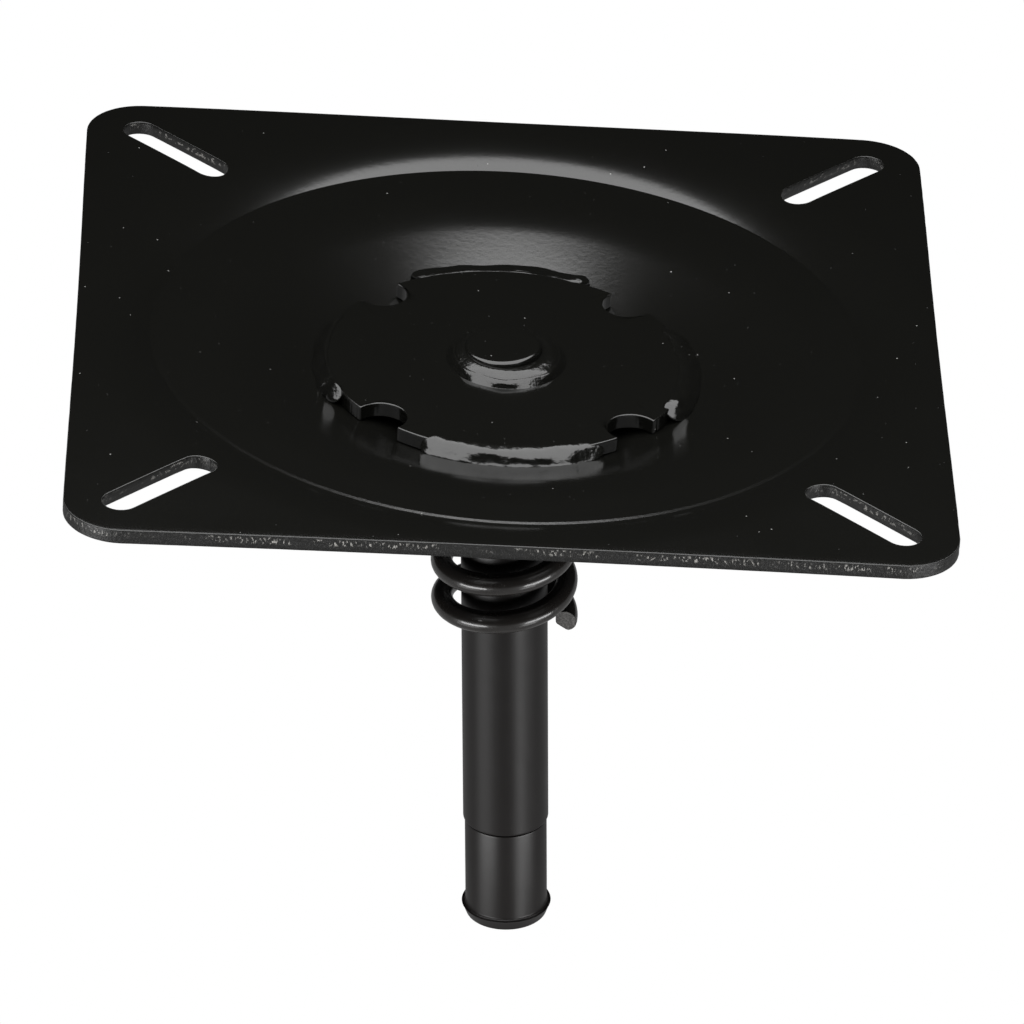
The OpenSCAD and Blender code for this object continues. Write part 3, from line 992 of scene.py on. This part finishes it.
def ring_bead():
    """The weld round the pin's top: a spline section of a steep outer facet, a shoulder with a
    fine groove on it and a shallow trough at the pin. The shoulder wanders out where two passes of
    the weld overlap."""
    hub, pin = settings("hub"), settings("pin")
    top = hub_top()
    angle = np.linspace(0, 2 * np.pi, 300, endpoint=False)[None]
    s = np.linspace(0, 1, 41)[:, None]
    zero = 0 * angle
    lap = bump_field(np.degrees(angle), zero, [
        (267, 0, 13, 1, 0.55), (224, 0, 9, 1, 0.5), (318, 0, 9, 1, 0.45), (20, 0, 14, 1, 0.35),
        (120, 0, 25, 1, 0.3)])
    x, y = np.cos(angle), np.sin(angle)
    drift = 0.1 * ripple(x * 3, y * 3, 5)
    toe = hub.ring + drift
    start, within = pin.pin - 0.7, 11.0
    radii = smooth_line(
        [toe, toe - 0.2, hub.ring - 0.8 + lap, hub.ring - 1.45 + lap, hub.ring - 1.6 + lap * 0.5,
         hub.ring - 2.5 + drift, hub.ring - 3.3 + drift, pin.pin + 0.4, start], len(s))
    heights = smooth_line(
        [zero - 0.1, zero + 0.15, 0.85 + drift, 1.62 + drift, 1.66 + drift, 2.2 + drift,
         2.6 + drift, zero + 2.5, zero + 2.5], len(s))
    wave = 0.015 * ripple(x * 10 + s * 2, y * 10 + s * 8, 13)
    wave = wave - 0.09 * np.exp(-((s - 0.47) / 0.035) ** 2)
    proud = wave * np.sin(np.pi * s) ** 0.6
    radii, heights = radii + proud, top + heights + proud
    low = np.broadcast_to(top - 0.4, (2, angle.shape[1]))
    r_all = np.concatenate([radii, zero + start, zero + within])
    z_all = np.concatenate([heights, low])
    points = np.stack([r_all * x, r_all * y, z_all], axis=-1)
    points = leaned(np.concatenate([points, points[:1]]))
    closed_piece("ring_bead", "weld_coat", TOP, [patch(points, around=True)], "ring_weld")


def turned_piece(name, slot, body, profile, node, sharp=50):
    """A turned piece: the profile of (radius, height) points carried round +Z."""
    angle = np.linspace(0, 2 * np.pi, 192, endpoint=False)[None]
    r, z = profile[:, :1], profile[:, 1:]
    points = np.stack([r * np.cos(angle), r * np.sin(angle), z + 0 * angle], axis=-1)
    closed_piece(name, slot, body, [patch(points, around=True)], node, sharp)


def steel_pin():
    """The pin: a bar with a softly domed, coated top edge and a plain turned-down foot."""
    pin = settings("pin")
    low, high = node_box("swivel_pin")
    r, top = pin.pin, high[2]
    shoulder = node_box("foot_cap")[1][2]
    profile = np.concatenate([
        [[0, low[2]], [pin.foot, low[2]], [pin.foot, shoulder - 0.01], [r, shoulder],
         [r, top - 1.2]],
        arc(r - 0.9, top - 0.9, 0.9, 0, 90, 9), [[5.0, top - 0.04], [0, top - 0.04]]])
    turned_piece("steel_pin", "plate_coat", TOP, profile, "swivel_pin")


def long_bushing():
    """The long bushing: a tube with a softly rounded edge at its foot."""
    pin = settings("pin")
    length, r, bore = pin.bushing_length, pin.bushing, pin.pin + pin.running_gap
    foot = arc(r - 0.35, -length + 0.35, 0.35, -90, 0, 6)
    profile = np.concatenate([
        [[bore, -length], [bore + 0.2, -length]], foot,
        [[r, -length + 0.6], [r, -length / 2], [r, -0.2], [r - 0.1, 0], [bore, 0],
         [bore, -length]]])
    turned_piece("long_bushing", "polymer", POST, profile, "pin_bushing")


def foot_cap():
    """The foot cap: a plain tube with a closed end and a snap lip, sharp above and tapered
    below."""
    pin = settings("pin")
    low, high = node_box("foot_cap")
    foot, top = low[2], high[2]
    r, lip, edge = pin.cap, pin.lip, low[2] + pin.lip_height
    fillet = arc(r + CAP_FILLET, edge + CAP_FILLET, CAP_FILLET, 270, 180, 9)
    profile = np.concatenate([
        [[0, foot], [r - 0.7, foot]], arc(r - 0.5, foot + 0.5, 0.5, -90, -20, 5),
        [[lip - 0.12, edge - 0.22], [lip, edge - 0.08], [lip - 0.06, edge]], fillet,
        [[r, top - 0.5], [r - 0.1, top - 0.15], [r - 0.35, top], [pin.foot, top],
         [pin.foot, foot + CAP_END], [0, foot + CAP_END]]])
    turned_piece("foot_cap_moulding", "polymer", TOP, profile, "foot_cap", sharp=40)


def coil_spring():
    """A round wire carried up a helix whose coils are sheared to lie along the leaning plate. The
    rise is the open pitch for the open turns, then the closed pitch under the dish. The lower end
    is snipped: one side of its last few degrees is cut back to a flat."""
    spring, plate = settings("spring"), settings("plate")
    wire = spring.wire / 2
    lean = np.radians(plate.lean)
    top = plate.floor_z - (wire + spring.seat_gap) / np.cos(lean)
    turns = spring.open_turns + spring.closed_turns
    t = np.linspace(0, turns, int(turns * 110) + 1)[:, None]
    closed = spring.wire + spring.closed_gap
    total = spring.open_turns * spring.pitch + spring.closed_turns * closed
    rise = np.minimum(t, spring.open_turns) * spring.pitch
    rise = rise + np.maximum(t - spring.open_turns, 0) * closed + top - total
    angle = np.radians(spring.cut_angle) + 2 * np.pi * t
    b = np.linspace(0, 2 * np.pi, 28, endpoint=False)[None]
    free = 1 - t / turns
    slope = np.tan(lean) + (np.tan(np.radians(spring.free_lean)) - np.tan(lean)) * free
    tip = np.tan(np.radians(spring.free_tip)) * free
    snip = np.clip(1 - t / SNIP_TURNS, 0, 1)
    flat = np.minimum(1, SNIP_DEPTH / np.maximum(np.cos(b - np.radians(SNIP_BEARING)), 0.01))

    def ring(radius, at_angle, at_rise, end=slice(None)):
        """Rings of the wire's surface, radius from its middle line, at one end or all along."""
        radius = radius * (1 + (flat - 1) * snip[end])
        r = spring.coil + radius * np.cos(b)
        x = r * np.cos(at_angle)
        y = r * np.sin(at_angle)
        z = at_rise + radius * np.sin(b) - x * slope[end] + y * tip[end]
        return np.stack([x, y, z], axis=-1)

    tube = ring(wire, angle, rise)
    first, last = slice(0, 1), slice(-1, None)
    edge = (wire - 0.08, CUT_BACK)
    foot = [ring(radius, angle[:1] + back, rise[:1], first)
            for radius, back in ((0.0, 0), (wire * 0.5, 0), (wire - 0.3, 0), edge)]
    head = [ring(radius, angle[-1:] - back, rise[-1:], last)
            for radius, back in (edge, (wire - 0.3, 0), (0.0, 0))]
    points = np.concatenate(foot + [tube[1:-1]] + head)
    cut = np.zeros((len(points), 1))
    cut[:3] = 1
    cut[-2:] = 1
    patches = [patch(points, around=True, cut=cut)]
    closed_piece("coil_spring", "spring_coat", TOP, patches, "spring", sharp=50)


def camera_axes(azimuth, elevation, roll):
    """The camera's right, up and back directions, azimuth 0 looking along +Y, angles in degrees."""
    a, e, r = np.radians([azimuth, elevation, roll])
    right = np.array([np.cos(a), np.sin(a), 0])
    ahead = np.array([-np.sin(a) * np.cos(e), np.cos(a) * np.cos(e), -np.sin(e)])
    down = np.cross(ahead, right)
    across = np.cos(r) * right - np.sin(r) * down
    low = np.sin(r) * right + np.cos(r) * down
    return across, -low, -ahead


def area_lamp(name, place, aim, size, power):
    """A soft rectangular lamp at a place, turned to aim at a point."""
    data = bpy.data.lights.new(name, "AREA")
    data.shape = "RECTANGLE"
    data.size, data.size_y = size
    data.energy = power
    lamp = bpy.data.objects.new(name, data)
    bpy.context.scene.collection.objects.link(lamp)
    lamp.location = place
    lamp.rotation_euler = (Vector(aim) - Vector(place)).to_track_quat("-Z", "Y").to_euler()


def pale_floor():
    """A wide level floor under the part. The camera sees it plain white, and the part's gloss sees
    it dimmer."""
    stage = settings("stage")
    side = np.linspace(-FLOOR_REACH, FLOOR_REACH, 3)
    u, v = np.meshgrid(side, side, indexing="ij")
    low = CAD_BOX[0][2] - stage.drop * MM
    points, quads, _ = patch(np.stack([u, v, 0 * u + low], axis=-1))
    mesh = bpy.data.meshes.new("floor")
    mesh.from_pydata(points.tolist(), [], quads.tolist())
    floor = bpy.data.objects.new("floor", mesh)
    bpy.context.scene.collection.objects.link(floor)
    paper = Finish("white paper", PAPER, specular=0.1)
    paper.set("Roughness", 0.9)
    seen = paper.ray("Camera") + paper.ray("Glossy") + paper.ray("Transmission")
    dimmed = paper.ray("Glossy") * (1 - stage.mirrored)
    glow = paper.node("ShaderNodeEmission", None, {"Color": WHITE, "Strength": 1 - dimmed})
    matt = Wire(paper, paper.shader.outputs[0])
    both = paper.node("ShaderNodeMixShader", None, {0: seen.above(0.5, 0.1), 1: matt, 2: glow})
    paper.tree.links.new(both.socket, paper.tree.nodes["Material Output"].inputs["Surface"])
    mesh.materials.append(paper.material)


def studio():
    """Camera at the photograph's angle, soft lamps, a dim room whose backdrop is white to the
    camera, and the pale floor."""
    stage = settings("stage")
    scene = bpy.context.scene
    data = bpy.data.cameras.new("camera")
    data.lens, data.sensor_width = stage.lens, 36.0
    data.clip_start, data.clip_end = 0.05, 60.0
    camera = bpy.data.objects.new("camera", data)
    scene.collection.objects.link(camera)
    turn = Matrix(camera_axes(*CAMERA_ANGLES)).transposed().to_4x4()
    camera.matrix_world = Matrix.Translation(CAMERA_PLACE) @ turn
    scene.camera = camera
    for lamp in ((*OVERHEAD, stage.lamp), *SIDE_LAMPS):
        area_lamp(*lamp)

    world = bpy.data.worlds.new("room")
    scene.world = world
    world.use_nodes = True
    room = Nodes(world.node_tree, "Background")
    room.set("Color", WHITE)
    room.set("Strength", stage.room + room.ray("Camera") * (1 - stage.room))
    scene.view_settings.view_transform = "Standard"
    pale_floor()


class SWIVEL_OT_plate(bpy.types.Operator):
    """Build the pressed plate"""

    bl_idname = "swivel.plate"
    bl_label = "Pressed plate"

    def execute(self, context):
        seat_plate()
        return {"FINISHED"}


class SWIVEL_OT_disc(bpy.types.Operator):
    """Build the bitten hub disc"""

    bl_idname = "swivel.disc"
    bl_label = "Hub disc"

    def execute(self, context):
        hub_disc()
        return {"FINISHED"}


class SWIVEL_OT_beads(bpy.types.Operator):
    """Build the four edge beads and the ring weld"""

    bl_idname = "swivel.beads"
    bl_label = "Weld beads"

    def execute(self, context):
        edge_beads()
        ring_bead()
        return {"FINISHED"}


class SWIVEL_OT_pin(bpy.types.Operator):
    """Build the steel pin"""

    bl_idname = "swivel.pin"
    bl_label = "Steel pin"

    def execute(self, context):
        steel_pin()
        return {"FINISHED"}


class SWIVEL_OT_mouldings(bpy.types.Operator):
    """Build the long bushing and the foot cap"""

    bl_idname = "swivel.mouldings"
    bl_label = "Bushing and cap"

    def execute(self, context):
        long_bushing()
        foot_cap()
        return {"FINISHED"}


class SWIVEL_OT_spring(bpy.types.Operator):
    """Build the coil spring"""

    bl_idname = "swivel.spring"
    bl_label = "Coil spring"

    def execute(self, context):
        coil_spring()
        return {"FINISHED"}


class SWIVEL_OT_stage(bpy.types.Operator):
    """Set up the camera, the lamps and the floor"""

    bl_idname = "swivel.stage"
    bl_label = "Stage"

    def execute(self, context):
        studio()
        return {"FINISHED"}


OPERATORS = (SWIVEL_OT_plate, SWIVEL_OT_disc, SWIVEL_OT_beads, SWIVEL_OT_pin, SWIVEL_OT_mouldings,
             SWIVEL_OT_spring, SWIVEL_OT_stage)


class SWIVEL_PT_panel(bpy.types.Panel):
    """Lists the pieces of the swivel mount"""

    bl_idname = "SWIVEL_PT_panel"
    bl_label = "Swivel mount"
    bl_space_type = "VIEW_3D"
    bl_region_type = "UI"
    bl_category = "Swivel mount"

    def draw(self, context):
        for operator in OPERATORS:
            self.layout.operator(operator.bl_idname)


def register():
    """Registers the settings, the operators and the panel."""
    for name, group in GROUPS.items():
        bpy.utils.register_class(group)
        setattr(bpy.types.Scene, name, bpy.props.PointerProperty(
            name=group.__name__, description=group.__doc__, type=group))
    for item in (*OPERATORS, SWIVEL_PT_panel):
        bpy.utils.register_class(item)


def unregister():
    """Takes them away, in the opposite order."""
    for item in reversed((*OPERATORS, SWIVEL_PT_panel)):
        bpy.utils.unregister_class(item)
    for name, group in reversed(list(GROUPS.items())):
        delattr(bpy.types.Scene, name)
        bpy.utils.unregister_class(group)


def main():
    register()
    bpy.ops.swivel.plate()
    bpy.ops.swivel.disc()
    bpy.ops.swivel.beads()
    bpy.ops.swivel.pin()
    bpy.ops.swivel.mouldings()
    bpy.ops.swivel.spring()
    bpy.ops.swivel.stage()


if __name__ == "__main__":
    main()
